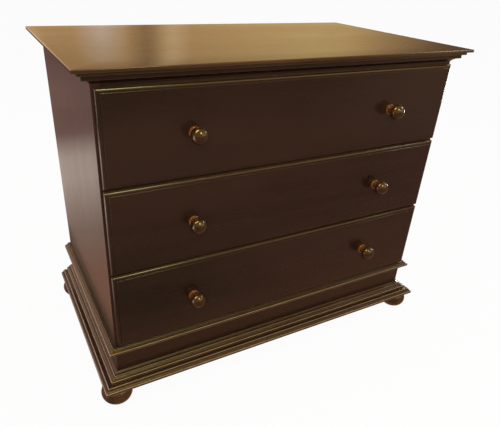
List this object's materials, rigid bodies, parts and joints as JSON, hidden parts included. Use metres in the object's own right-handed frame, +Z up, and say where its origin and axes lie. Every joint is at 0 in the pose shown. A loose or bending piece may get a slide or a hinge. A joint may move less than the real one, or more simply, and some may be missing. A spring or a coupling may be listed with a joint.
{
  "type": "chest of drawers",
  "caption": "Low wooden chest of drawers with lipped drawer fronts, turned knobs, a stepped cornice, a moulded plinth base and bun feet; the drawers slide out to the front.",
  "frame": {"origin": "on the floor, under the centre of the bounding box, knobs included", "axes": "+X across the front, -Y out of the front where the drawers open, +Z up"},
  "size_m": [0.93, 0.5354, 0.7503],
  "materials": {
    "stained_wood": "satin",
    "turned_wood": "gloss",
    "inner_wood": "matte",
    "plywood": "matte",
    "steel": "satin"
  },
  "bodies": {
    "case": {"top_board": "stained_wood", "side_panel_left": "stained_wood", "side_panel_right": "stained_wood", "back_panel": "plywood", "back_screws": "steel", "case_bottom": "plywood", "bottom_rail": "stained_wood", "drawer_rail_lower": "stained_wood", "drawer_rail_upper": "stained_wood", "top_rail": "stained_wood", "runners": "inner_wood", "kickers": "inner_wood", "drawer_stops": "inner_wood", "cornice_front": "stained_wood", "cornice_left": "stained_wood", "cornice_right": "stained_wood", "waist_moulding_front": "stained_wood", "waist_moulding_left": "stained_wood", "waist_moulding_right": "stained_wood", "base_cap_front": "stained_wood", "base_cap_left": "stained_wood", "base_cap_right": "stained_wood", "plinth_front": "stained_wood", "plinth_left": "stained_wood", "plinth_right": "stained_wood", "base_frame_front": "stained_wood", "base_frame_left": "stained_wood", "base_frame_right": "stained_wood", "plinth_back": "inner_wood", "base_frame_back": "inner_wood", "corner_blocks": "inner_wood", "foot_front_left": "turned_wood", "foot_front_right": "turned_wood", "foot_rear_left": "turned_wood", "foot_rear_right": "turned_wood"},
    "drawer_1": {"drawer_1_front": "stained_wood", "drawer_1_side_left": "inner_wood", "drawer_1_side_right": "inner_wood", "drawer_1_back": "inner_wood", "drawer_1_bottom": "plywood", "drawer_1_knob_left": "turned_wood", "drawer_1_knob_right": "turned_wood", "drawer_1_knob_screws": "steel"},
    "drawer_2": {"drawer_2_front": "stained_wood", "drawer_2_side_left": "inner_wood", "drawer_2_side_right": "inner_wood", "drawer_2_back": "inner_wood", "drawer_2_bottom": "plywood", "drawer_2_knob_left": "turned_wood", "drawer_2_knob_right": "turned_wood", "drawer_2_knob_screws": "steel"},
    "drawer_3": {"drawer_3_front": "stained_wood", "drawer_3_side_left": "inner_wood", "drawer_3_side_right": "inner_wood", "drawer_3_back": "inner_wood", "drawer_3_bottom": "plywood", "drawer_3_knob_left": "turned_wood", "drawer_3_knob_right": "turned_wood", "drawer_3_knob_screws": "steel"}
  },
  "joints": [
    {"name": "drawer_1_slide", "type": "slide", "parent": "case", "child": "drawer_1", "axis": [0, -1, 0], "range_m": [0, 0.3665]},
    {"name": "drawer_2_slide", "type": "slide", "parent": "case", "child": "drawer_2", "axis": [0, -1, 0], "range_m": [0, 0.3665]},
    {"name": "drawer_3_slide", "type": "slide", "parent": "case", "child": "drawer_3", "axis": [0, -1, 0], "range_m": [0, 0.3665]}
  ]
}
